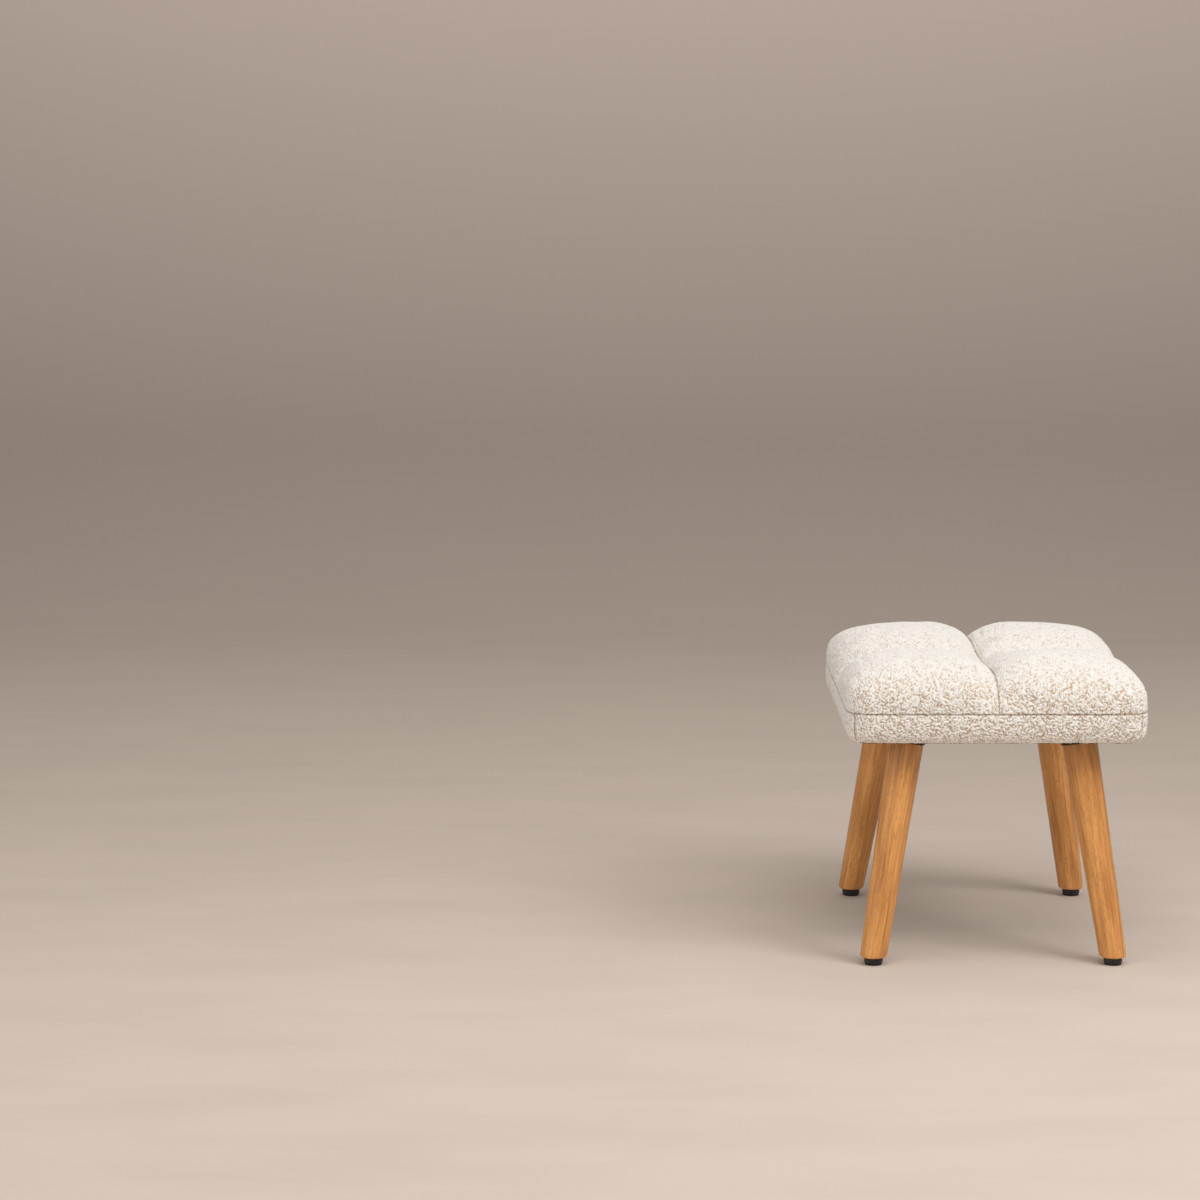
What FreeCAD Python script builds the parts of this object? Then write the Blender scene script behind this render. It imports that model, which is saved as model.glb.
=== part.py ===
import FreeCAD, Part
import math
import os
from FreeCAD import Matrix, Placement, Rotation, Vector

# A footstool with a tufted cushion top on four splayed round legs with levelling feet.
# All sizes are in millimetres. The origin is on the floor under the middle of the stool,
# X runs along the short side, Y along the long side to the back, and Z up.

# Cushion: a quilted top panel and four side bands of thick cloth, sewn along their edges
cushion_width = 380.0
cushion_depth = 440.0
side_swell = 6.0
swell_rise = 19.0
crown_rise = 65.5
shoulder_run = 75.0
seam_corner_radius = 28.0
crown_corner_radius = 84.0
band_edge_radius = 10.0
cloth = 2.0
seam_allowance = 10.0
hem_width = 24.0
corner_seam_gap = 0.2
swell_steps = 3
crown_steps = 10

# Channels that part the four tufts
long_channel_depth = 21.0
long_channel_slope = 43.6
long_channel_radius = 78.0
long_channel_sag = 9.0
cross_channel_depth = 20.0
cross_channel_slope = 18.6
cross_channel_radius = 400.0
cross_channel_sag = 2.0
channel_draw_in = 0.55
channel_steps = 4
least_sag = 0.2

# Filling, and the tapes that hold the channels down
soft_gap = 0.3
edge_strip = 5.0
foam_inset = 17.0
foam_thickness = 30.0
foam_corner_radius = 16.0
tape = 1.2
long_tape_run = 300.0
cross_tape_run = 250.0

# Wooden frame under the filling
rail_thickness = 22.0
rail_height = 24.0
frame_chamfer = 3.0
deck_thickness = 9.0
block_size = 78.0
dust_cover_thickness = 0.6
dust_cover_inset = 13.0

# Where the legs stand
underside_height = 281.0
leg_inset_x = 76.0
leg_inset_y = 64.0
splay = 0.156

# Leg plates, pressed down into a cup whose pad is square to the leg
plate_size = 60.0
plate_corner_radius = 6.0
plate_thickness = 2.5
pad_radius = 23.5
pad_clearance = 0.5
bolt_hole_gap = 0.3

# Legs
leg_top_radius = 22.0
leg_end_radius = 16.6
leg_top_chamfer = 1.0
leg_end_chamfer = 1.5

# Levelling feet
base_radius = 11.5
base_height = 6.9
base_chamfer = 1.0
sole_radius = 10.5
sole_thickness = 2.0
spigot_radius = 3.0
spigot_height = 1.6
stud_seat = 2.5
stud_length = 26.0
stud_room = 2.0
foot_gap = 0.3
insert_radius = 5.5
insert_length = 15.0
insert_flange_radius = 8.0
insert_flange = 0.7

# Fasteners
bolt_radius = 4.0
bolt_in_leg = 30.0
bolt_above_pad = 14.0
nut_flats = 13.0
nut_height = 6.5
nut_room_radius = 14.0
nut_room_depth = 20.0
thread_gap = 0.05

# Levels and lines that follow from the sizes above
rail_bottom = underside_height + cloth + soft_gap
rail_top = rail_bottom + rail_height
deck_top = rail_top + deck_thickness
seam_height = deck_top + soft_gap + cloth
swell_height = seam_height + swell_rise
crest_height = seam_height + crown_rise
half_width = cushion_width / 2
half_depth = cushion_depth / 2
seam_half_x = half_width - side_swell
seam_half_y = half_depth - side_swell
leg_top_x = seam_half_x - leg_inset_x
leg_top_y = seam_half_y - leg_inset_y
frame_inset = cloth + soft_gap + edge_strip + soft_gap
frame_half_x = seam_half_x - frame_inset
frame_half_y = seam_half_y - frame_inset
frame_corner_radius = seam_corner_radius - frame_inset
inner_half_x = frame_half_x - rail_thickness
inner_half_y = frame_half_y - rail_thickness
dust_cover_bottom = underside_height - dust_cover_thickness
flange_bottom = dust_cover_bottom - plate_thickness
leg_up = Vector(-splay, -splay, 1).normalize()
tilt = math.acos(leg_up.z)
pad_height = flange_bottom - pad_clearance - pad_radius * math.sin(tilt)
base_bottom = sole_thickness + thread_gap
base_top = base_bottom + base_height
stud_bottom = base_bottom + stud_seat
stud_top = stud_bottom + stud_length
leg_end_height = base_top + foot_gap + insert_flange
leg_drop = pad_height - leg_end_height
leg_length = leg_drop / leg_up.z
foot_x = leg_top_x + splay * leg_drop
foot_y = leg_top_y + splay * leg_drop
pad_centre = Vector(leg_top_x, leg_top_y, pad_height)

corners = {
    "front_left": (-1, -1),
    "front_right": (1, -1),
    "rear_left": (-1, 1),
    "rear_right": (1, 1),
}
up = Vector(0, 0, 1)


def box(x0, x1, y0, y1, z0, z1):
    return Part.makeBox(x1 - x0, y1 - y0, z1 - z0, Vector(x0, y0, z0))


def turned(points):
    """A solid turned about the Z axis from (radius, height) points, closed along the axis."""
    outline = [Vector(radius, 0, height) for radius, height in points]
    profile = Part.Face(Part.makePolygon(outline + outline[:1]))
    return profile.revolve(Vector(0, 0, 0), up, 360)


def moved(shape, x, y, z=0):
    return shape.translated(Vector(x, y, z))


def at_corner(shape, side_x, side_y):
    """A shape built at the right rear corner, mirrored to another corner."""
    if side_x < 0:
        shape = shape.mirror(Vector(0, 0, 0), Vector(1, 0, 0))
    if side_y < 0:
        shape = shape.mirror(Vector(0, 0, 0), Vector(0, 1, 0))
    return shape


def at_all_corners(shape):
    return [at_corner(shape, side_x, side_y) for side_x, side_y in corners.values()]


def on_pad(shape):
    """A shape built up Z from the origin, stood on the pad's centre along the leg."""
    shape = shape.copy()
    shape.Placement = Placement(pad_centre, Rotation(up, leg_up))
    return shape


def save(name, shape):
    """Writes one node. A list of solids is a group of like pieces."""
    if isinstance(shape, list):
        shape = Part.makeCompound(shape)
    shape.exportStep(f"parts/{name}.step")
    print(name, len(shape.Solids), round(shape.Volume), shape.isValid())


def level_outline(half_x, half_y, radius, z):
    """A rectangle with rounded corners, level at height z."""
    arcs = []
    for turn, (side_x, side_y) in enumerate(((1, 1), (-1, 1), (-1, -1), (1, -1))):
        centre = Vector(side_x * (half_x - radius), side_y * (half_y - radius), z)
        points = []
        for degrees in (0, 45, 90):
            angle = math.radians(90 * turn + degrees)
            points.append(centre + Vector(math.cos(angle), math.sin(angle), 0) * radius)
        arcs.append(points)
    edges = []
    for i, points in enumerate(arcs):
        edges.append(Part.Arc(*points).toShape())
        following = arcs[(i + 1) % 4][0]
        edges.append(Part.LineSegment(points[2], following).toShape())
    return Part.Wire(edges)


def slab(half_x, half_y, radius, z0, z1):
    outline = Part.Face(level_outline(half_x, half_y, radius, z0))
    return outline.extrude(Vector(0, 0, z1 - z0))


def crown(inset):
    """The top before tufting: it swells out above the seam, then rounds in to the crown."""
    wires = []

    def add(drawn_in, z, radius):
        half_x = half_width - inset - drawn_in
        half_y = half_depth - inset - drawn_in
        wires.append(level_outline(half_x, half_y, radius - inset, z))

    swell_radius = seam_corner_radius + side_swell
    for step in range(swell_steps):
        angle = math.pi / 2 * (1 - step / swell_steps)
        drawn_in = side_swell * (1 - math.cos(angle))
        add(drawn_in, swell_height - swell_rise * math.sin(angle), swell_radius - drawn_in)
    rise = crest_height - inset - swell_height
    for step in range(crown_steps + 1):
        angle = math.pi / 2 * step / crown_steps
        share = 1 - math.cos(angle)
        radius = swell_radius + (crown_corner_radius - swell_radius) * share
        add(shoulder_run * share, swell_height + rise * math.sin(angle), radius)
    return Part.makeLoft(wires, True, True)


def quarter(start, corner, end):
    """A quarter of an ellipse from start to end, inside the corner."""
    hold = 4 / 3 * (math.sqrt(2) - 1)
    curve = Part.BezierCurve()
    curve.setPoles([start, start + (corner - start) * hold, end + (corner - end) * hold, end])
    return curve


def channel_section(half_run, drop, sag, inset, x):
    """Upright outline along a channel, at x across it: what is left under the channel.

    Beyond the flank the drop turns negative, and the outline passes clear of the panel.
    """
    top = crest_height - inset - drop
    waist = half_run - inset - channel_draw_in * drop
    seam = half_run - side_swell - inset - min(drop, 0) * channel_draw_in
    low = Vector(x, seam, seam_height - swell_rise)
    high = Vector(x, seam, seam_height)
    swell = Vector(x, waist, seam_height)
    side = Vector(x, waist, swell_height)
    shoulder = Vector(x, waist, top)
    edge = Vector(x, waist - shoulder_run, top)
    middle = Vector(x, 0, top - sag)
    flip = Matrix()
    flip.A22 = -1
    near = [low, high, swell, side, shoulder, edge]
    far_low, far_high, far_swell, far_side, far_shoulder, far_edge = map(flip.multiply, near)
    curves = [
        Part.LineSegment(low, high),
        quarter(high, swell, side),
        quarter(side, shoulder, edge),
        Part.Arc(edge, middle, far_edge),
        quarter(far_edge, far_shoulder, far_side),
        quarter(far_side, far_swell, far_high),
        Part.LineSegment(far_high, far_low),
        Part.LineSegment(far_low, low),
    ]
    return Part.Wire([curve.toShape() for curve in curves])


def channel(half_run, depth, sag, slope, radius, inset):
    """What a channel along Y takes away, on either side of its two rounded flanks."""
    start = math.radians(slope)
    reach = radius * math.sin(start)
    wires = []
    for step in range(channel_steps + 1):
        x = reach * step / channel_steps
        rise = math.sqrt(radius**2 - (reach - x) ** 2) - radius * math.cos(start)
        sag_here = max(sag * (1 - step / channel_steps), least_sag)
        wires.append(channel_section(half_run, depth - rise, sag_here, inset, x))
    kept = Part.makeLoft(wires, True, True)
    around = box(0, reach, -cushion_depth, cushion_depth, seam_height - 1, crest_height + reach)
    flank = around.cut(kept)
    return [flank, flank.mirror(Vector(0, 0, 0), Vector(1, 0, 0))]


def tufted(inset, base):
    """The tufted top, drawn in by inset all round and cut off level at base."""
    form = crown(inset)
    cuts = channel(
        half_depth,
        long_channel_depth,
        long_channel_sag,
        long_channel_slope,
        long_channel_radius,
        inset,
    )
    for flank in channel(
        half_width,
        cross_channel_depth,
        cross_channel_sag,
        cross_channel_slope,
        cross_channel_radius,
        inset,
    ):
        cuts.append(flank.rotated(Vector(0, 0, 0), up, 90))
    form = form.cut(cuts)
    reach = cushion_depth
    return form.common(box(-reach, reach, -reach, reach, base, crest_height + 1))


def foam_room(grow):
    """The space of the foam block, grown by a gap where something fits round it."""
    return slab(
        seam_half_x - foam_inset + grow,
        seam_half_y - foam_inset + grow,
        foam_corner_radius + grow,
        deck_top + soft_gap - grow,
        deck_top + soft_gap + foam_thickness + grow,
    )


def quilted_top_panel():
    """Cloth quilted over soft fibre, hollowed underneath to sit over the foam block."""
    return tufted(0, seam_height).cut(foam_room(soft_gap))


def band_profile():
    """Upright section of a side band, its outer face at X = 0 looking along +X."""
    turn = band_edge_radius * (1 - math.sqrt(0.5))
    inner_turn = cloth + (band_edge_radius - cloth) * (2 - math.sqrt(2))
    bottom = underside_height
    inner = bottom + cloth

    def point(x, z):
        return Vector(x, 0, z)

    fold = point(0, bottom + band_edge_radius)
    hem = point(-band_edge_radius, bottom)
    outline = [
        hem,
        point(-hem_width, bottom),
        point(-hem_width, inner),
        point(-inner_turn, inner),
        point(-cloth, bottom + inner_turn),
        point(-cloth, seam_height - cloth),
        point(-seam_allowance, seam_height - cloth),
        point(-seam_allowance, seam_height),
        point(0, seam_height),
        fold,
    ]
    edges = [Part.LineSegment(*ends).toShape() for ends in zip(outline, outline[1:])]
    edges.append(Part.Arc(fold, point(-turn, bottom + turn), hem).toShape())
    return Part.Face(Part.Wire(edges))


def cover_band(half_out, half_along):
    """One band, facing +X, with half of each corner, short of the corner seam by its gap."""
    profile = moved(band_profile(), half_out, 0)
    straight = half_along - seam_corner_radius
    run = moved(profile, 0, -straight).extrude(Vector(0, 2 * straight, 0))
    seam_angle = 45 - math.degrees(corner_seam_gap / 2 / seam_corner_radius)
    axis = Vector(half_out - seam_corner_radius, straight, 0)
    left = moved(profile, 0, straight).revolve(axis, up, seam_angle)
    right = left.mirror(Vector(0, 0, 0), Vector(0, 1, 0))
    return run.fuse([left, right]).removeSplitter()


def edge_filling():
    """The strip of soft fibre between the frame's sides and the bands."""
    inset = cloth + soft_gap
    outside = slab(
        seam_half_x - inset,
        seam_half_y - inset,
        seam_corner_radius - inset,
        underside_height + band_edge_radius,
        seam_height - inset,
    )
    inset += edge_strip
    return outside.cut(
        slab(
            seam_half_x - inset,
            seam_half_y - inset,
            seam_corner_radius - inset,
            underside_height,
            seam_height,
        )
    )


def tape_room(run, grow):
    """An upright strip along Y under a channel, from the deck to the quilted panel."""
    half = tape / 2 + grow
    top = deck_top + soft_gap + foam_thickness
    return box(-half, half, -run / 2 - grow, run / 2 + grow, deck_top, top)


def long_tape():
    return tape_room(long_tape_run, 0)


def cross_tapes():
    """The cross channel's two strips, one on each side of the long one."""
    strip = tape_room(cross_tape_run, 0).rotated(Vector(0, 0, 0), up, 90)
    return strip.cut(tape_room(long_tape_run, soft_gap)).Solids


def foam_block():
    slits = [
        tape_room(long_tape_run, soft_gap),
        tape_room(cross_tape_run, soft_gap).rotated(Vector(0, 0, 0), up, 90),
    ]
    return foam_room(0).cut(slits)


def frame_envelope():
    """The frame's outside, rounded at its corners and chamfered along its bottom edge."""
    form = slab(frame_half_x, frame_half_y, frame_corner_radius, rail_bottom, rail_top)
    bottom = [edge for edge in form.Edges if edge.BoundBox.ZMax < rail_bottom + 1e-3]
    return form.makeChamfer(frame_chamfer, bottom)


def rails():
    """Two long side rails, with the front and rear rails between them."""
    envelope = frame_envelope()
    right = box(inner_half_x, frame_half_x, -frame_half_y, frame_half_y, rail_bottom, rail_top)
    rear = box(-inner_half_x, inner_half_x, inner_half_y, frame_half_y, rail_bottom, rail_top)
    blanks = {
        "left_rail": right.mirror(Vector(0, 0, 0), Vector(1, 0, 0)),
        "right_rail": right,
        "front_rail": rear.mirror(Vector(0, 0, 0), Vector(0, 1, 0)),
        "rear_rail": rear,
    }
    return {name: blank.common(envelope) for name, blank in blanks.items()}


def corner_block():
    """Glued into the right rear corner, level with the hem, with room for nut and bolt."""
    blank = box(
        inner_half_x - block_size,
        inner_half_x,
        inner_half_y - block_size,
        inner_half_y,
        underside_height,
        rail_top,
    )
    nut_room = Part.makeCylinder(nut_room_radius, nut_room_depth)
    nut_room = moved(nut_room, leg_top_x, leg_top_y, underside_height)
    return blank.cut(nut_room)


def deck():
    return slab(frame_half_x, frame_half_y, frame_corner_radius, rail_top, deck_top)


def dust_cover():
    """Thin cloth that closes the underside, under the leg plates."""
    sheet = slab(
        seam_half_x - dust_cover_inset,
        seam_half_y - dust_cover_inset,
        seam_corner_radius - dust_cover_inset,
        dust_cover_bottom,
        underside_height,
    )
    hole = moved(Part.makeCylinder(nut_room_radius, underside_height), leg_top_x, leg_top_y)
    return sheet.cut(at_all_corners(hole))


def cup(radius, pad_level):
    """A round cup square to the leg, from its pad up past the plate's flange."""
    depth = 2 * radius
    return on_pad(Part.makeCylinder(radius, depth, Vector(0, 0, pad_level)))


def leg_plate():
    """Pressed steel: a square flange with a cup pressed down to a pad square to the leg."""
    half = plate_size / 2
    flange = slab(half, half, plate_corner_radius, flange_bottom, dust_cover_bottom)
    flange = moved(flange, leg_top_x, leg_top_y)
    reach = plate_size
    above = box(
        leg_top_x - reach,
        leg_top_x + reach,
        leg_top_y - reach,
        leg_top_y + reach,
        dust_cover_bottom,
        dust_cover_bottom + reach,
    )
    pressed = flange.fuse(cup(pad_radius, 0)).cut(above)
    wall = plate_thickness
    holes = [
        cup(pad_radius - wall, wall),
        on_pad(Part.makeCylinder(bolt_radius + bolt_hole_gap, 3 * wall, Vector(0, 0, -wall))),
    ]
    return pressed.cut(holes)


def plate_nut():
    corner = nut_flats / 2 / math.cos(math.pi / 6)
    turns = [2 * math.pi * i / 6 for i in range(7)]
    z = plate_thickness
    outline = [Vector(corner * math.cos(a), corner * math.sin(a), z) for a in turns]
    body = Part.Face(Part.makePolygon(outline)).extrude(Vector(0, 0, nut_height))
    bore = Part.makeCylinder(bolt_radius + thread_gap, 2 * nut_height, Vector(0, 0, 0))
    return on_pad(body.cut(bore))


def hanger_bolt(gap=0.0):
    """The threaded rod that joins the leg to the plate's nut."""
    radius = bolt_radius + gap
    bottom = -bolt_in_leg - gap
    return on_pad(Part.makeCylinder(radius, bolt_above_pad - bottom, Vector(0, 0, bottom)))


def insert_bore(radius, top, gap=0.0):
    """An upright cylinder over the foot's centre, from the leg's end to top above it."""
    place = Vector(foot_x, foot_y, leg_end_height)
    return Part.makeCylinder(radius + gap, top + gap, place)


def leg():
    """A tapered turned leg, splayed both ways, its end cut level and its edges eased."""
    over = leg_end_radius
    taper = (leg_top_radius - leg_end_radius) / leg_length
    cone = Part.makeCone(
        leg_end_radius - taper * over,
        leg_top_radius,
        leg_length + over,
        Vector(0, 0, -leg_length - over),
    )
    top = [edge for edge in cone.Edges if edge.BoundBox.ZMin > -1e-3]
    form = on_pad(cone.makeChamfer(leg_top_chamfer, top))
    reach = 2 * leg_top_radius
    ground = box(
        foot_x - reach, foot_x + reach, foot_y - reach, foot_y + reach, -reach, leg_end_height
    )
    form = form.cut(ground)
    end = [edge for edge in form.Edges if edge.BoundBox.ZMax < leg_end_height + 1e-3]
    form = form.makeChamfer(leg_end_chamfer, end)
    return form.cut(
        [
            hanger_bolt(thread_gap),
            insert_bore(insert_radius, insert_length, thread_gap),
            insert_bore(bolt_radius, stud_top + stud_room - leg_end_height, bolt_hole_gap),
        ]
    )


def foot_insert():
    """A threaded insert in the leg's end, its flange on the wood."""
    bottom = leg_end_height - insert_flange
    outside = [
        (bolt_radius + thread_gap, bottom),
        (insert_flange_radius, bottom),
        (insert_flange_radius, leg_end_height),
        (insert_radius, leg_end_height),
        (insert_radius, leg_end_height + insert_length),
        (bolt_radius + thread_gap, leg_end_height + insert_length),
    ]
    return turned(outside)


def foot_stud():
    """The screw of a levelling foot, moulded into its base."""
    return Part.makeCylinder(bolt_radius, stud_length, Vector(0, 0, stud_bottom))


def foot_base():
    """The black moulded base, turned by hand, with a pocket for the sole's spigot."""
    pocket = spigot_radius + thread_gap
    pocket_top = sole_thickness + spigot_height + thread_gap
    return turned(
        [
            (pocket, base_bottom),
            (base_radius - base_chamfer, base_bottom),
            (base_radius, base_bottom + base_chamfer),
            (base_radius, base_top),
            (bolt_radius, base_top),
            (bolt_radius, stud_bottom),
            (0, stud_bottom),
            (0, pocket_top),
            (pocket, pocket_top),
        ]
    )


def foot_sole():
    """The rubber sole, which stays still on the floor while the base turns above it."""
    return turned(
        [
            (0, 0),
            (sole_radius, 0),
            (sole_radius, sole_thickness),
            (spigot_radius, sole_thickness),
            (spigot_radius, sole_thickness + spigot_height),
            (0, sole_thickness + spigot_height),
        ]
    )


def save_cushion():
    save("quilted_top_panel", quilted_top_panel())
    right = cover_band(seam_half_x, seam_half_y)
    rear = cover_band(seam_half_y, seam_half_x).rotated(Vector(0, 0, 0), up, 90)
    save("cover_band_right", right)
    save("cover_band_left", right.mirror(Vector(0, 0, 0), Vector(1, 0, 0)))
    save("cover_band_rear", rear)
    save("cover_band_front", rear.mirror(Vector(0, 0, 0), Vector(0, 1, 0)))
    save("edge_filling", edge_filling())
    save("foam_block", foam_block())
    save("long_channel_tape", long_tape())
    save("cross_channel_tapes", cross_tapes())


def save_frame():
    save("deck_panel", deck())
    for name, rail in rails().items():
        save(name, rail)
    block = corner_block()
    for name, sides in corners.items():
        save(f"corner_block_{name}", at_corner(block, *sides))
    save("dust_cover", dust_cover())


def save_legs():
    plate, wooden_leg = leg_plate(), leg()
    for name, sides in corners.items():
        save(f"leg_plate_{name}", at_corner(plate, *sides))
        save(f"leg_{name}", at_corner(wooden_leg, *sides))
    save("plate_nuts", at_all_corners(plate_nut()))
    save("hanger_bolts", at_all_corners(hanger_bolt()))


def save_feet():
    insert = moved(foot_insert(), foot_x, foot_y)
    save("foot_inserts", at_all_corners(insert))
    for name, (side_x, side_y) in corners.items():
        x, y = side_x * foot_x, side_y * foot_y
        save(f"foot_stud_{name}", moved(foot_stud(), x, y))
        save(f"foot_base_{name}", moved(foot_base(), x, y))
        save(f"foot_sole_{name}", moved(foot_sole(), x, y))


os.makedirs("parts", exist_ok=True)
save_cushion()
save_frame()
save_legs()
save_feet()
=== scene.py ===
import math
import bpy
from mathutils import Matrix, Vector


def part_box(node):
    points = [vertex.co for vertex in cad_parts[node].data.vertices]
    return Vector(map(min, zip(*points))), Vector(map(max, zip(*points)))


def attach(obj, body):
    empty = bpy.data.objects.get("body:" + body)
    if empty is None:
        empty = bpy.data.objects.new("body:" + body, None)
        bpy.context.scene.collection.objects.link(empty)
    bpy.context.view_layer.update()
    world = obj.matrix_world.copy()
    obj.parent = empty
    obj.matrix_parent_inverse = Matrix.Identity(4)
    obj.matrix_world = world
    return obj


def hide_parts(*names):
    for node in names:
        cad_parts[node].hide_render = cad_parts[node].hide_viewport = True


bl_info = {
    "name": "Tufted footstool",
    "version": (1, 0, 0),
    "blender": (4, 5, 0),
    "location": "3D View > Sidebar > Footstool",
    "description": "Dresses a tufted footstool in looped wool cloth and oak",
    "category": "Object",
}

import bpy
import numpy as np
from bpy.props import FloatProperty, FloatVectorProperty, PointerProperty
from mathutils import Matrix, Vector

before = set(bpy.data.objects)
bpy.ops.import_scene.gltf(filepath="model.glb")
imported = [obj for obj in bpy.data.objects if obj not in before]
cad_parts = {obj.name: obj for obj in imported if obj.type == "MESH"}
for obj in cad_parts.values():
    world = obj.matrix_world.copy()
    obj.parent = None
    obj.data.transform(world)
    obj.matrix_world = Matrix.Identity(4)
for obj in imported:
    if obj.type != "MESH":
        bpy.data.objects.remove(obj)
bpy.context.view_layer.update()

mm = 0.001
corners = {
    "front_left": (-1, -1),
    "front_right": (1, -1),
    "rear_left": (-1, 1),
    "rear_right": (1, 1),
}
sides = {"right": (1, 0), "left": (-1, 0), "rear": (0, 1), "front": (0, -1)}

# Sizes that the frame gives
seam_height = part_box("quilted_top_panel")[0][2]
band_low, band_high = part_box("cover_band_right")
underside = band_low[2]
seam_half_x = band_high[0]
seam_half_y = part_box("cover_band_rear")[1][1]
foam_low, foam_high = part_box("foam_block")
lining_low, lining_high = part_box("dust_cover")

# Sizes of the solids that their boxes don't show
hem_width = 24 * mm
seam_corner = 28 * mm
plate_thickness = 2.5 * mm
splay = 0.156

# The cover as it is cut, before the filling swells it
top_squeeze = (0.977, 0.98, 0.925)
band_fullness = 1.5 * mm
lower_edge_radius = 12 * mm
seam_shoulder = 8 * mm
cloth_thickness = 2 * mm

# How far the small fasteners sit from an edge
screw_inset = 7.5 * mm
staple_inset = 6 * mm


def linear(hex_colour):
    """A colour written as six hex digits of sRGB, as linear light."""
    parts = [int(hex_colour[i : i + 2], 16) / 255 for i in (0, 2, 4)]
    return tuple(
        part / 12.92 if part <= 0.04045 else ((part + 0.055) / 1.055) ** 2.4
        for part in parts
    )


def colour(name, description, hex_colour):
    return FloatVectorProperty(
        name=name,
        description=description,
        subtype="COLOR",
        size=3,
        min=0,
        max=1,
        default=linear(hex_colour),
    )


def length(name, description, metres):
    return FloatProperty(
        name=name,
        description=description,
        default=metres,
        min=0,
        precision=4,
        subtype="DISTANCE",
        unit="LENGTH",
    )


class BoucleCover(bpy.types.PropertyGroup):
    tips: colour("Loop tips", "Yarn on top of the loops", "f7f2ec")
    # Gaps: the ground cloth's tone and painted shade down between the loops
    ground_and_gap_shade: colour("Gaps", "Ground cloth between the loops", "c4a27e")
    # Painted shade in the seams and tufting, mixed with the thread's colour
    crease_shade_and_thread: colour("Seam", "Shaded cloth and thread down in the seams", "8f7459")
    loop_pitch: length("Loop pitch", "From one strand of yarn to the next", 4.2 * mm)
    loop_height: length("Loop height", "How far the curls stand up", 2.4 * mm)
    lump: length("Lump", "How uneven the filling lies under the cloth", 0.5 * mm)
    lump_pitch: length("Lump pitch", "From one lump of filling to the next", 32 * mm)
    stuffing_step: length("Stuffing step", "Cells that the filling swells", 6 * mm)
    mesh_step: length("Mesh step", "Cells of the cover before they are divided", 4 * mm)
    puff: length("Puff", "How far the filling may push the cloth out", 4 * mm)
    seam_depth: length("Seam depth", "How far a sewn edge draws in", 1.0 * mm)
    seam_width: length("Seam width", "How far from a seam it draws in", 1.5 * mm)
    channel_depth: length("Channel depth", "How far tufting draws in", 2.5 * mm)
    channel_width: length("Channel width", "How far from the tufting", 4 * mm)


class OakLegs(bpy.types.PropertyGroup):
    light: colour("Early wood", "Light stripes of the oak", "eeab60")
    dark: colour("Late wood", "Dark stripes of the oak", "b06a2a")
    pores: colour("Pores", "Open pores along the oak", "8d5c2a")
    stripe: length("Stripe", "Width of a stripe of grain", 3.5 * mm)
    figure: length("Figure", "Width of a broad light or dark patch", 14 * mm)
    grain: length("Grain", "How far a stripe or patch runs along the leg", 90 * mm)
    pore: length("Pore", "Width of an open pore", 0.5 * mm)
    pore_run: length("Pore run", "How far a pore runs along the leg", 9 * mm)


class Stage(bpy.types.PropertyGroup):
    floor: colour("Floor", "Plain pale floor", "dfd1c4")
    # Rear: painted shade where the floor sweeps up into the wall, darker than both
    # floor and wall
    rear: colour("Rear", "Where the floor sweeps up into the wall", "95887f")
    wall: colour("Wall", "Plain wall behind the floor", "bbada4")


def add_node(material, kind, links=(), **settings):
    """Adds one node. Settings go to its fields, links are pairs of input and source."""
    node = material.node_tree.nodes.new("ShaderNode" + kind)
    for name, value in settings.items():
        setattr(node, name, value)
    for socket, source in links:
        if isinstance(source, bpy.types.NodeSocket):
            material.node_tree.links.new(source, node.inputs[socket])
        else:
            node.inputs[socket].default_value = source
    return node


def new_material(name, finish):
    """A material, its Principled shader with a finish, and its Object coordinates."""
    material = bpy.data.materials.new(name)
    material.use_nodes = True
    shader = material.node_tree.nodes["Principled BSDF"]
    for socket, value in finish.items():
        shader.inputs[socket].default_value = value
    return material, shader, add_node(material, "TexCoord").outputs["Object"]


def stretched(material, place, size, turn=(0, 0, 0), shift=(0, 0, 0)):
    """Coordinates in which a pattern has that size along each axis, once turned."""
    links = [("Vector", place), ("Location", shift), ("Rotation", turn)]
    turned = add_node(material, "Mapping", links).outputs["Vector"]
    links = [("Vector", turned), ("Scale", tuple(1 / s for s in size))]
    return add_node(material, "Mapping", links).outputs["Vector"]


def cloud(material, where, detail=2.0, distortion=0.0):
    """Soft noise, one lump to a unit of where."""
    links = [("Vector", where), ("Scale", 1.0), ("Detail", detail)]
    links.append(("Distortion", distortion))
    return add_node(material, "TexNoise", links).outputs["Fac"]


def figure(material, operation, first, second):
    """A sum or product of two patterns, or of a pattern and a number."""
    links = [(0, first), (1, second)]
    return add_node(material, "Math", links, operation=operation).outputs[0]


def shade(material, fac, low, high, start=0.0, end=1.0):
    """A colour that goes from low to high as fac goes from start to end."""
    links = [("Value", fac), ("From Min", start), ("From Max", end)]
    share = add_node(material, "MapRange", links, clamp=True).outputs["Result"]
    links = [("Factor", share)]
    for socket, value in ((6, low), (7, high)):
        linked = isinstance(value, bpy.types.NodeSocket)
        links.append((socket, value if linked else (*value, 1)))
    return add_node(material, "Mix", links, data_type="RGBA").outputs[2]


def finish_shader(material, shader, base, height=None, depth=0.0):
    """Links a base colour, and bumps of a depth in metres."""
    material.node_tree.links.new(base, shader.inputs["Base Color"])
    if height is not None:
        bump = add_node(material, "Bump", [("Height", height), ("Distance", depth)])
        material.node_tree.links.new(bump.outputs["Normal"], shader.inputs["Normal"])
    return material


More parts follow.
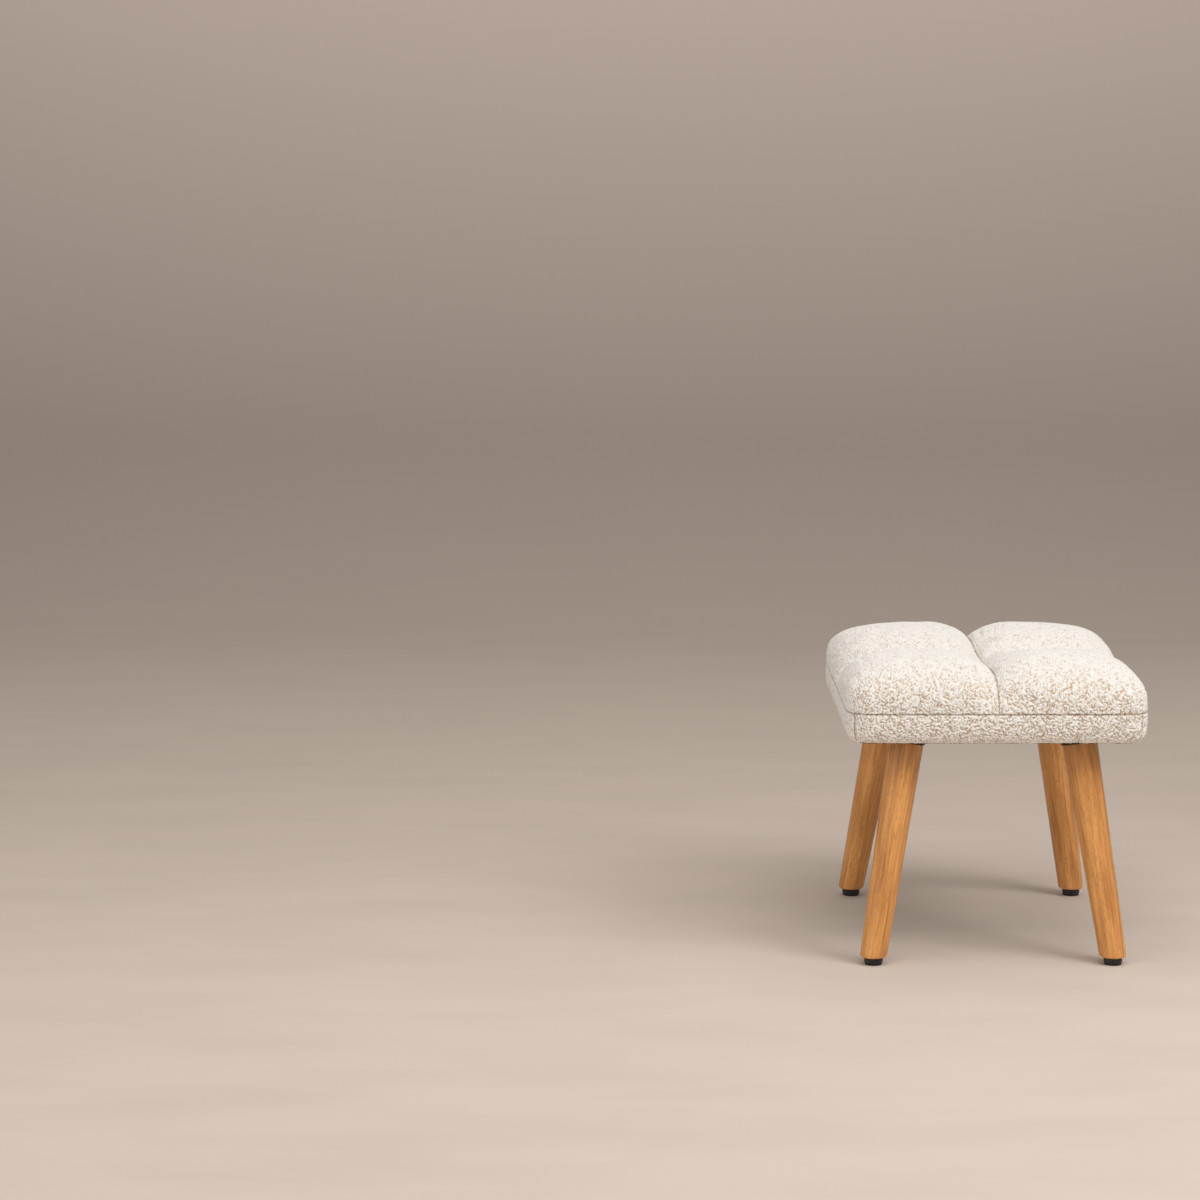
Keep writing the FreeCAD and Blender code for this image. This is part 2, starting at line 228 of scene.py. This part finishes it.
def boucle():
    """Boucle: wool yarn in loose loops, whose tips are paler than the gaps between
    them, which show the ground cloth's tone and painted shade.
    """
    looks = bpy.context.scene.boucle_cover
    finish = {"Roughness": 0.95, "Sheen Weight": 0.2, "Sheen Roughness": 0.5}
    material, shader, place = new_material("cream boucle", finish)
    curl = add_node(material, "Attribute", attribute_name="curl").outputs["Fac"]
    seam = add_node(material, "Attribute", attribute_name="seam").outputs["Fac"]
    fibre = cloud(material, stretched(material, place, [0.9 * mm] * 3))
    strand = figure(material, "ADD", curl, figure(material, "MULTIPLY", fibre, 0.5))
    # Darker down between the loops: the ground cloth's tone and painted shade
    yarn = shade(material, strand, looks.ground_and_gap_shade, looks.tips, 0.25, 0.95)
    # Painted shade: the cloth darkens towards the thread colour in the seams and
    # tufting channels
    base = shade(material, seam, yarn, looks.crease_shade_and_thread, 0.35, 1.2)
    return finish_shader(material, shader, base, fibre, 0.3 * mm)


def oak(side_x, side_y):
    """Oak under satin lacquer: stripes and short open pores that run along each leg."""
    looks = bpy.context.scene.oak_legs
    finish = {"Roughness": 0.42, "Coat Weight": 0.25, "Coat Roughness": 0.3}
    material, shader, place = new_material("honey oak", finish)
    turn = (-side_y * math.atan(splay), side_x * math.atan(splay), 0)
    # Each leg is turned from another part of the board
    shift = (0.37 * side_x, 0.21 * side_y, 0)

    def along(width, run):
        return stretched(material, place, (width, width, run), turn, shift)

    stripes = along(looks.stripe, looks.grain)
    rings = cloud(material, stripes, detail=3.0, distortion=0.6)
    broad = cloud(material, along(looks.figure, looks.grain))
    pores = cloud(material, along(looks.pore, looks.pore_run), detail=1.0)
    tone = figure(material, "ADD", rings, figure(material, "MULTIPLY", broad, 0.8))
    wood = shade(material, tone, looks.dark, looks.light, 0.55, 1.15)
    base = shade(material, pores, looks.pores, wood, 0.24, 0.4)
    return finish_shader(material, shader, base, pores, 0.05 * mm)


def soft_wood(name, light, dark, lie):
    """Planed pine or birch: wide pale grain that runs along X or Y."""
    material, shader, place = new_material(name, {"Roughness": 0.7})
    run, width = 120 * mm, 5 * mm
    size = {"x": (run, width, width), "y": (width, run, width)}[lie]
    where = stretched(material, place, size)
    grain = cloud(material, where, detail=3.0, distortion=0.4)
    base = shade(material, grain, linear(dark), linear(light), 0.35, 0.65)
    return finish_shader(material, shader, base, grain, 0.1 * mm)


def grainy(name, light, dark, size, depth, finish):
    """A plain moulded, coated or matted surface with fine grain of that size."""
    material, shader, place = new_material(name, finish)
    grain = cloud(material, stretched(material, place, [size] * 3), detail=3.0)
    base = shade(material, grain, linear(dark), linear(light), 0.35, 0.65)
    return finish_shader(material, shader, base, grain, depth)


def moulded_nylon():
    """Black nylon, moulded with fine upright ribs that fingers can grip."""
    material, shader, place = new_material("black nylon", {"Roughness": 0.5})
    rib = (1.1 * mm, 1.1 * mm, 30 * mm)
    ribs = cloud(material, stretched(material, place, rib), detail=1.0)
    base = shade(material, ribs, linear("100d0b"), linear("2e2723"), 0.35, 0.65)
    return finish_shader(material, shader, base, ribs, 0.3 * mm)


def rubber():
    """Black rubber, dull from its mould."""
    finish = {"Roughness": 0.8}
    return grainy("black rubber", "1b1a1a", "121111", 0.8 * mm, 0.05 * mm, finish)


def coated_steel():
    """Pressed steel under black powder coat, with a faint orange peel."""
    finish = {"Roughness": 0.45}
    return grainy("black powder coat", "1d1c1b", "141313", 1.2 * mm, 0.04 * mm, finish)


def zinc_plate():
    """Zinc plated steel, a soft grey metal."""
    finish = {"Metallic": 1.0, "Roughness": 0.35}
    return grainy("zinc plate", "b9bab8", "9a9c9b", 1.5 * mm, 0.02 * mm, finish)


def lining_cloth():
    """Spunbonded lining: thin black cloth of pressed threads with rows of weld dots."""
    material, shader, place = new_material("black lining cloth", {"Roughness": 0.9})
    spots = stretched(material, place, [1.6 * mm] * 3)
    links = [("Vector", spots), ("Scale", 1.0), ("Randomness", 0.15)]
    dots = add_node(material, "TexVoronoi", links).outputs["Distance"]
    threads = cloud(material, stretched(material, place, [0.7 * mm] * 3), detail=4.0)
    pressed = figure(material, "MULTIPLY", dots, threads)
    base = shade(material, pressed, linear("141312"), linear("2b2927"), 0.05, 0.4)
    return finish_shader(material, shader, base, dots, 0.15 * mm)


def foam():
    """Open cell foam, cream with fine pits."""
    finish = {"Roughness": 1.0}
    return grainy("upholstery foam", "efe6c9", "d9cda8", 1.5 * mm, 0.3 * mm, finish)


def wadding():
    """Fibre wadding, white and cloudy."""
    finish = {"Roughness": 1.0}
    return grainy("fibre wadding", "f0efe9", "dcdad2", 4 * mm, 0.6 * mm, finish)


def webbing():
    """Woven tape of natural cotton."""
    finish = {"Roughness": 0.9}
    return grainy("cotton tape", "d8cfba", "b9ad94", 0.9 * mm, 0.15 * mm, finish)


def only(piece):
    """Makes a piece the only selected one, and the active one, out of edit mode."""
    if bpy.context.mode != "OBJECT":
        end_edit()
    bpy.ops.object.select_all(action="DESELECT")
    piece.select_set(True)
    bpy.context.view_layer.objects.active = piece


def edit_all(piece):
    only(piece)
    bpy.ops.object.mode_set(mode="EDIT")
    bpy.ops.mesh.select_all(action="SELECT")


def end_edit():
    bpy.ops.object.mode_set(mode="OBJECT")
    return bpy.context.active_object


def edit_some(piece, kind, test):
    """Opens edit mode with the faces or the edges selected that pass a test."""
    only(piece)
    bpy.ops.object.mode_set(mode="EDIT")
    bpy.ops.mesh.select_mode(type=kind)
    bpy.ops.mesh.select_all(action="DESELECT")
    bpy.ops.object.mode_set(mode="OBJECT")
    for element in piece.data.polygons if kind == "FACE" else piece.data.edges:
        element.select = test(element)
    bpy.ops.object.mode_set(mode="EDIT")


def edit_faces(piece, test):
    """Opens edit mode with the faces selected whose normals pass a test."""
    edit_some(piece, "FACE", lambda face: test(face.normal))


def edit_edges(piece, test):
    """Opens edit mode with the edges selected whose two ends pass a test."""
    ends = piece.data.vertices
    edit_some(piece, "EDGE", lambda edge: test(*(ends[i].co for i in edge.vertices)))


def faces_down(normal):
    return normal.z < -0.9


def faces_up(normal):
    return normal.z > 0.9


def upright(a, b):
    return abs(a.z - b.z) > 2 * abs(a.x - b.x) + 2 * abs(a.y - b.y)


def block(name, low, high):
    """A cube set to the size and place of a box, with its place in its mesh."""
    bpy.ops.object.select_all(action="DESELECT")
    bpy.ops.mesh.primitive_cube_add(size=1)
    piece = bpy.context.active_object
    piece.name = piece.data.name = name
    edit_all(piece)
    bpy.ops.transform.resize(value=[h - l for l, h in zip(low, high)])
    bpy.ops.transform.translate(value=[(h + l) / 2 for l, h in zip(low, high)])
    return end_edit()


def apply(piece, kind, **settings):
    """Adds a modifier and applies it."""
    only(piece)
    modifier = piece.modifiers.new(kind.lower(), kind)
    for name, value in settings.items():
        setattr(modifier, name, value)
    bpy.ops.object.modifier_apply(modifier=modifier.name)


def copy_of(source, name):
    piece = source.copy()
    piece.data = source.data.copy()
    piece.name = piece.data.name = name
    bpy.context.collection.objects.link(piece)
    return piece


def join_pieces(name, pieces):
    only(pieces[0])
    for piece in pieces:
        piece.select_set(True)
    bpy.ops.object.join()
    joined = bpy.context.active_object
    joined.name = joined.data.name = name
    return joined


def repeat(name, pattern, places):
    """Copies of a small piece in one object. A place is x, y, z and a turn about Z."""
    copies = []
    for x, y, z, turn in places:
        piece = copy_of(pattern, name)
        seat = Matrix.Translation((x, y, z)) @ Matrix.Rotation(turn, 4, "Z")
        piece.data.transform(seat)
        copies.append(piece)
    bpy.data.objects.remove(pattern)
    return join_pieces(name, copies)


def dress(piece, material):
    piece.data.materials.clear()
    piece.data.materials.append(material)
    return piece


def points_of(mesh):
    """A mesh's points as rows of x, y and z."""
    points = np.empty(len(mesh.vertices) * 3, np.float32)
    mesh.vertices.foreach_get("co", points)
    return points.reshape(-1, 3)


def set_points(mesh, points):
    mesh.vertices.foreach_set("co", points.astype(np.float32).ravel())
    mesh.update()


def seam_distances(points):
    """How far each point is from the nearest sewn seam and the nearest tufting."""
    x, y = np.abs(points[:, 0]), np.abs(points[:, 1])
    height = points[:, 2] - seam_height
    above = np.maximum(height, 0)
    # Each upright corner seam ends in a short crease that runs up onto the top
    corner = np.abs((x - seam_half_x) - (y - seam_half_y)) / math.sqrt(2) + above / 4
    sewn = np.minimum(np.abs(height), corner)
    tufted = np.where(height > 0, np.minimum(x, y), np.inf)
    return sewn, tufted


def even_out(piece, step):
    """Gives a closed form even cells and eases its edges."""
    apply(piece, "REMESH", mode="VOXEL", voxel_size=step, adaptivity=0.0)
    apply(piece, "SMOOTH", factor=0.5, iterations=3)
    return piece


def cover_blank():
    """The whole cushion as one closed form of its tufted top, inside and bands."""
    step = bpy.context.scene.boucle_cover.stuffing_step
    top = copy_of(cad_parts["quilted_top_panel"], "top blank")
    edit_all(top)
    bpy.ops.mesh.remove_doubles(threshold=0.001 * mm)
    seam_middle = (0, 0, seam_height)
    bpy.ops.transform.resize(value=top_squeeze, center_override=seam_middle)
    end_edit()
    inside_low = (*foam_low[:2], underside + step)
    inside = block("inside", inside_low, (*foam_high[:2], foam_high[2] + step / 4))
    half_x, half_y = seam_half_x + band_fullness, seam_half_y + band_fullness
    high = (half_x, half_y, seam_height + 2 * seam_shoulder)
    bands = block("band blank", (-half_x, -half_y, underside), high)
    edit_edges(bands, upright)
    bpy.ops.mesh.bevel(offset=seam_corner, segments=8)
    edit_faces(bands, faces_down)
    bpy.ops.mesh.bevel(offset=lower_edge_radius, segments=5)
    edit_faces(bands, faces_up)
    bpy.ops.mesh.bevel(offset=seam_shoulder, segments=4)
    end_edit()
    blank = join_pieces("cover", [top, inside, bands])
    return even_out(blank, step)


def inflate(pad, reach, limit):
    """The filling pushes the cloth out between the seams, by cloth simulation."""
    rest = points_of(pad.data)
    sewn, tufted = seam_distances(rest)
    near_seam = np.minimum(sewn, tufted) < reach
    held = near_seam | (rest[:, 2] < underside + lower_edge_radius / 2)
    group = pad.vertex_groups.new(name="sewn")
    group.add([int(i) for i in np.nonzero(held)[0]], 1.0, "REPLACE")
    cloth = pad.modifiers.new("cloth", "CLOTH")
    cloth.settings.vertex_group_mass = group.name
    cloth.settings.use_pressure = True
    cloth.settings.uniform_pressure_force = 6
    cloth.settings.effector_weights.gravity = 0
    cloth.settings.tension_stiffness = 5
    cloth.settings.compression_stiffness = 5
    cloth.settings.bending_stiffness = 1
    last_frame = 20
    cloth.point_cache.frame_start = 1
    cloth.point_cache.frame_end = last_frame
    for step in range(1, last_frame + 1):
        bpy.context.scene.frame_set(step)
    only(pad)
    bpy.ops.object.modifier_apply(modifier=cloth.name)
    bpy.context.scene.frame_set(1)
    moved = points_of(pad.data) - rest
    far = np.linalg.norm(moved, axis=1, keepdims=True)
    share = np.minimum(1, limit / np.maximum(far, 0.001 * mm))
    set_points(pad.data, rest + moved * share)
    pad.vertex_groups.clear()


def crossing_waves(points, wave, seed):
    """Sines and cosines of waves of one length that cross from all sides, added up."""
    draw = np.random.default_rng(seed)
    ways = draw.normal(size=(28, 3))
    ways /= np.linalg.norm(ways, axis=1, keepdims=True)
    starts = draw.uniform(0, math.tau, len(ways))
    sines, cosines = np.zeros(len(points)), np.zeros(len(points))
    for way, start in zip(ways, starts):
        turn = points @ way * (math.tau / wave) + start
        sines += np.sin(turn)
        cosines += np.cos(turn)
    return sines, cosines


def bell(distance, width):
    """One at a seam, falling off smoothly to nothing about two widths away."""
    return np.exp(-((distance / width) ** 2))


def loop_cloth(cover):
    """Raises the curls, draws in the seams, and keeps the curls and a mask of painted
    shade in the seams and tufting for the material.
    """
    looks = bpy.context.scene.boucle_cover
    mesh = cover.data
    points = points_of(mesh)
    normals = np.empty(len(points) * 3, np.float32)
    mesh.vertex_normals.foreach_get("vector", normals)
    # The phase passes zero once a strand, which leaves sharp gaps between rounded,
    # curled strands. Where waves cross, strands lie closer than one wave is long.
    sines, cosines = crossing_waves(points, 1.15 * looks.loop_pitch, seed=7)
    curl = np.abs(sines) / np.maximum(np.hypot(sines, cosines), 1e-6)
    sines, cosines = crossing_waves(points, looks.lump_pitch, seed=3)
    lumps = sines / np.abs(sines).max()
    sewn, tufted = seam_distances(points)
    # Painted shade: a mask that darkens the cloth's colour near sewn seams and tufting,
    # seam_width wide
    crease_shade = bell(np.minimum(sewn, tufted), looks.seam_width)
    pull = np.maximum(
        looks.seam_depth * bell(sewn, looks.seam_width),
        looks.channel_depth * bell(tufted, looks.channel_width),
    )
    mean_curl = 0.7
    rise = (curl - mean_curl) * looks.loop_height + lumps * looks.lump - pull
    points = points + normals.reshape(-1, 3) * rise[:, None]
    # Over the lining the cloth lies flat, and outside it the loops may hang lower
    x, y = np.abs(points[:, 0]), np.abs(points[:, 1])
    free = (x > lining_high[0] + 1 * mm) | (y > lining_high[1] + 1 * mm)
    lowest = np.where(free, underside - 1.5 * mm, underside + 0.2 * mm)
    points[:, 2] = np.maximum(points[:, 2], lowest)
    set_points(mesh, points)
    for name, values in (("curl", curl), ("seam", crease_shade)):
        kept = mesh.attributes.new(name, "FLOAT", "POINT")
        kept.data.foreach_set("value", values.astype(np.float32))


def cut(piece, point, normal, fill=False):
    """Cuts a piece along a plane and keeps the side that the normal points to."""
    edit_all(piece)
    bpy.ops.mesh.bisect(
        plane_co=point, plane_no=normal, clear_inner=True, use_fill=fill
    )
    return end_edit()


class FOOTSTOOL_OT_cover(bpy.types.Operator):
    """Sews, stuffs and tufts the boucle cover, and parts it into top and bands"""

    bl_idname = "footstool.cover"
    bl_label = "Boucle cover"

    def execute(self, context):
        looks = context.scene.boucle_cover
        cover = cover_blank()
        inflate(cover, 0.6 * looks.stuffing_step, looks.puff)
        even_out(cover, looks.mesh_step)
        apply(cover, "SUBSURF", levels=2, render_levels=2)
        loop_cloth(cover)
        dress(cover, boucle())
        top = copy_of(cover, "tufted_top")
        top = cut(top, (0, 0, seam_height), (0, 0, 1), fill=True)
        self.finish_piece(top, "quilted_top_panel", 0.85)
        for face in top.data.polygons:
            face.use_smooth = len(face.vertices) < 5
        for name, (side_x, side_y) in sides.items():
            self.band(cover, name, side_x, side_y)
        bpy.data.objects.remove(cover)
        return {"FINISHED"}

    def band(self, cover, name, side_x, side_y):
        """One side's cloth, mitred at its corners, with its hem turned in below."""
        band = copy_of(cover, f"side_band_{name}")
        band = cut(band, (0, 0, seam_height), (0, 0, -1))
        for turn in (-1, 1):
            corner = (
                (side_x or turn) * (seam_half_x - seam_corner),
                (side_y or turn) * (seam_half_y - seam_corner),
                0,
            )
            normal = (side_x - turn * abs(side_y), side_y - turn * abs(side_x), 0)
            band = cut(band, corner, normal)
        hem_x, hem_y = seam_half_x - hem_width, seam_half_y - hem_width
        band = cut(band, (hem_x * side_x, hem_y * side_y, 0), (side_x, side_y, 0))
        apply(band, "SOLIDIFY", thickness=cloth_thickness, offset=-1)
        self.finish_piece(band, f"cover_band_{name}", 0.9)

    def finish_piece(self, piece, node, fill):
        only(piece)
        bpy.ops.object.shade_smooth()
        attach(piece, "root")
        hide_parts(node)


class FOOTSTOOL_OT_legs(bpy.types.Operator):
    """Gives each leg its oak, with the grain along the leg"""

    bl_idname = "footstool.legs"
    bl_label = "Oak legs"

    def execute(self, context):
        for name, (side_x, side_y) in corners.items():
            dress(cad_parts[f"leg_{name}"], oak(side_x, side_y))
        return {"FINISHED"}


class FOOTSTOOL_OT_hardware(bpy.types.Operator):
    """Finishes the leg plates, bolts and levelling feet"""

    bl_idname = "footstool.hardware"
    bl_label = "Plates and feet"

    def execute(self, context):
        coat, zinc = coated_steel(), zinc_plate()
        nylon, sole = moulded_nylon(), rubber()
        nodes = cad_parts
        for name in corners:
            dress(nodes[f"leg_plate_{name}"], coat)
            dress(nodes[f"foot_stud_{name}"], zinc)
            dress(nodes[f"foot_base_{name}"], nylon)
            dress(nodes[f"foot_sole_{name}"], sole)
        for name in ("plate_nuts", "hanger_bolts", "foot_inserts"):
            dress(nodes[name], zinc)
        return {"FINISHED"}


class FOOTSTOOL_OT_fasteners(bpy.types.Operator):
    """Adds the screws of the leg plates and the staples of the lining"""

    bl_idname = "footstool.fasteners"
    bl_label = "Screws and staples"

    def execute(self, context):
        zinc = zinc_plate()
        self.finish_piece("plate_screws", self.screw(), self.screw_places(), zinc)
        self.finish_piece("lining_staples", self.staple(), self.staple_places(), zinc)
        return {"FINISHED"}

    def finish_piece(self, name, pattern, places, material):
        piece = dress(repeat(name, pattern, places), material)
        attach(piece, "root")

    def screw_places(self):
        """Near the four corners of each leg plate, on its underside."""
        flange = lining_low[2] - plate_thickness
        places = []
        for name in corners:
            low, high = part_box(f"leg_plate_{name}")
            for x in (low[0] + screw_inset, high[0] - screw_inset):
                turn = 0.7 * x / mm
                for y in (low[1] + screw_inset, high[1] - screw_inset):
                    places.append((x, y, flange, turn))
        return places

    def screw(self):
        """A pan head with a cross recess, its face down."""
        height = 2.4 * mm
        bpy.ops.object.select_all(action="DESELECT")
        bpy.ops.mesh.primitive_cylinder_add(vertices=20, radius=4 * mm, depth=height)
        head = bpy.context.active_object
        edit_all(head)
        bpy.ops.transform.translate(value=(0, 0, -height / 2))
        edit_faces(head, faces_down)
        bpy.ops.mesh.bevel(offset=1.1 * mm, segments=3)
        end_edit()
        reach, half_slot = 2.1 * mm, 0.5 * mm
        for half_x, half_y in ((reach, half_slot), (half_slot, reach)):
            low, high = (-half_x, -half_y, -3 * mm), (half_x, half_y, -1 * mm)
            arm = block("recess", low, high)
            apply(head, "BOOLEAN", operation="DIFFERENCE", object=arm)
            bpy.data.objects.remove(arm)
        return head

    def staple_places(self):
        """Evenly along the lining's four edges."""
        half_x = lining_high[0] - staple_inset
        half_y = lining_high[1] - staple_inset
        level = lining_low[2]
        places = []
        for share in (-0.86, -0.58, -0.29, 0, 0.29, 0.58, 0.86):
            for side in (-1, 1):
                places.append((side * half_x, share * half_y, level, math.pi / 2))
            for side in (-1, 1):
                places.append((share * half_x, side * half_y, level, 0))
        return places

    def staple(self):
        """The crown of a staple, its two ends turned up into the rail."""
        half_crown, half_wire = 5 * mm, 0.6 * mm
        low = (-half_crown, -half_wire, -0.6 * mm)
        high = (half_crown, half_wire, 0.1 * mm)
        crown = block("crown", low, high)
        edit_edges(crown, lambda a, b: a.x == b.x and a.z < 0 and b.z < 0)
        bpy.ops.mesh.bevel(offset=0.5 * mm, segments=3)
        return end_edit()


class FOOTSTOOL_OT_inner_frame(bpy.types.Operator):
    """Finishes the wooden frame, the filling and the lining under the cushion"""

    bl_idname = "footstool.inner_frame"
    bl_label = "Frame and filling"

    def execute(self, context):
        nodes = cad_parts
        along = soft_wood("planed pine along", "dcbf8c", "c39d62", "y")
        across = soft_wood("planed pine across", "dcbf8c", "c39d62", "x")
        dress(nodes["deck_panel"], soft_wood("birch plywood", "d9bd93", "c7a678", "y"))
        for name in ("left_rail", "right_rail"):
            dress(nodes[name], along)
        for name in ("front_rail", "rear_rail"):
            dress(nodes[name], across)
        for name in corners:
            dress(nodes[f"corner_block_{name}"], along)
        dress(nodes["dust_cover"], lining_cloth())
        dress(nodes["foam_block"], foam())
        dress(nodes["edge_filling"], wadding())
        tape = webbing()
        for name in ("long_channel_tape", "cross_channel_tapes"):
            dress(nodes[name], tape)
        return {"FINISHED"}


def area_lamp(name, place, target, width, depth, watts):
    lamp = bpy.data.objects.new(name, bpy.data.lights.new(name, "AREA"))
    lamp.data.shape = "RECTANGLE"
    lamp.data.size = width
    lamp.data.size_y = depth
    lamp.data.energy = watts
    lamp.location = place
    aim = Vector(target) - Vector(place)
    lamp.rotation_euler = aim.to_track_quat("-Z", "Y").to_euler()
    bpy.context.collection.objects.link(lamp)


class FOOTSTOOL_OT_stage(bpy.types.Operator):
    """Sets a pale floor that sweeps up into a wall, soft light and the camera"""

    bl_idname = "footstool.stage"
    bl_label = "Floor, light and camera"

    def execute(self, context):
        self.floor(context.scene.footstool_stage)
        stool = (0, 0, 0.25)
        area_lamp("key", (1.9, -1.6, 2.4), stool, 1.4, 1.4, 38)
        area_lamp("fill", (-2.6, -2.0, 1.6), stool, 2.4, 2.4, 20)
        area_lamp("top", (0.2, -1.3, 2.9), stool, 2.0, 2.0, 30)
        area_lamp("wall", (-0.4, 2.2, 3.2), (-0.4, 4.0, 1.3), 5.0, 0.8, 45)
        self.world(context)
        self.camera(context)
        context.scene.view_settings.view_transform = "Standard"
        return {"FINISHED"}

    def floor(self, looks):
        """Its rear edge is extruded up a quarter circle far behind the stool."""
        width, depth, middle = 16, 14, -4.6
        bpy.ops.object.select_all(action="DESELECT")
        bpy.ops.mesh.primitive_plane_add(size=1)
        floor = bpy.context.active_object
        floor.name = "floor"
        edit_all(floor)
        bpy.ops.transform.resize(value=(width, depth, 1))
        bpy.ops.transform.translate(value=(0, middle, 0))
        end_edit()
        edit_edges(floor, lambda a, b: a.y > 0 and b.y > 0)
        steps, radius, wall_height = 14, 1.6, 5
        reach = radius * math.pi / 2 / steps
        for step in range(steps):
            angle = math.pi / 2 * (step + 0.5) / steps
            self.extrude((0, reach * math.cos(angle), reach * math.sin(angle)))
        self.extrude((0, 0, wall_height))
        end_edit()
        bpy.ops.object.shade_smooth()
        dress(floor, self.floor_paint(looks))

    def extrude(self, way):
        bpy.ops.mesh.extrude_region_move(TRANSFORM_OT_translate={"value": way})

    def floor_paint(self, looks):
        """Matt paint with faint clouds, and painted shade that darkens it where the
        floor meets the wall and pales again up the wall.
        """
        material, shader, place = new_material("studio floor", {"Roughness": 0.9})
        axes = add_node(material, "SeparateXYZ", [("Vector", place)]).outputs
        tone = cloud(material, stretched(material, place, (0.3, 0.12, 0.3)), detail=5.0)
        darker = tuple(c * 0.95 for c in looks.floor)
        pale = shade(material, tone, darker, looks.floor, 0.35, 0.6)
        # Painted shade: darker towards the back, then paler again going up the wall
        rear = shade(material, axes["Y"], pale, looks.rear, -0.4, 3.4)
        paint_and_shade = shade(material, axes["Z"], rear, looks.wall, 0.3, 1.4)
        return finish_shader(material, shader, paint_and_shade)

    def world(self, context):
        world = bpy.data.worlds.new("studio")
        world.use_nodes = True
        context.scene.world = world
        background = world.node_tree.nodes["Background"]
        background.inputs["Color"].default_value = (1.0, 0.955, 0.9, 1)
        background.inputs["Strength"].default_value = 0.4

    def camera(self, context):
        """Low in front of the stool and to its left, so that it stands at the right."""
        camera = bpy.data.objects.new("camera", bpy.data.cameras.new("camera"))
        camera.data.lens = 101.94
        camera.data.sensor_width = 36
        camera.location = (-0.4888, -4.3118, 1.0403)
        tilt_down = 0.1406
        camera.rotation_euler = (math.pi / 2 - tilt_down, 0, 0)
        context.collection.objects.link(camera)
        context.scene.camera = camera


class FOOTSTOOL_PT_panel(bpy.types.Panel):
    """Lists the footstool's pieces and looks"""

    bl_label = "Tufted footstool"
    bl_idname = "FOOTSTOOL_PT_panel"
    bl_space_type = "VIEW_3D"
    bl_region_type = "UI"
    bl_category = "Footstool"

    def draw(self, context):
        for operator in operators:
            self.layout.operator(operator.bl_idname)
        for group in property_groups:
            looks = getattr(context.scene, group)
            for name in property_groups[group].__annotations__:
                self.layout.prop(looks, name)


operators = (
    FOOTSTOOL_OT_cover,
    FOOTSTOOL_OT_legs,
    FOOTSTOOL_OT_hardware,
    FOOTSTOOL_OT_fasteners,
    FOOTSTOOL_OT_inner_frame,
    FOOTSTOOL_OT_stage,
)
property_groups = {
    "boucle_cover": BoucleCover,
    "oak_legs": OakLegs,
    "footstool_stage": Stage,
}


def register():
    for group, kind in property_groups.items():
        bpy.utils.register_class(kind)
        setattr(bpy.types.Scene, group, PointerProperty(type=kind))
    for kind in (*operators, FOOTSTOOL_PT_panel):
        bpy.utils.register_class(kind)


def unregister():
    for kind in (*operators, FOOTSTOOL_PT_panel):
        bpy.utils.unregister_class(kind)
    for group, kind in property_groups.items():
        delattr(bpy.types.Scene, group)
        bpy.utils.unregister_class(kind)


def main():
    register()
    bpy.ops.footstool.cover()
    bpy.ops.footstool.legs()
    bpy.ops.footstool.hardware()
    bpy.ops.footstool.fasteners()
    bpy.ops.footstool.inner_frame()
    bpy.ops.footstool.stage()


if __name__ == "__main__":
    main()
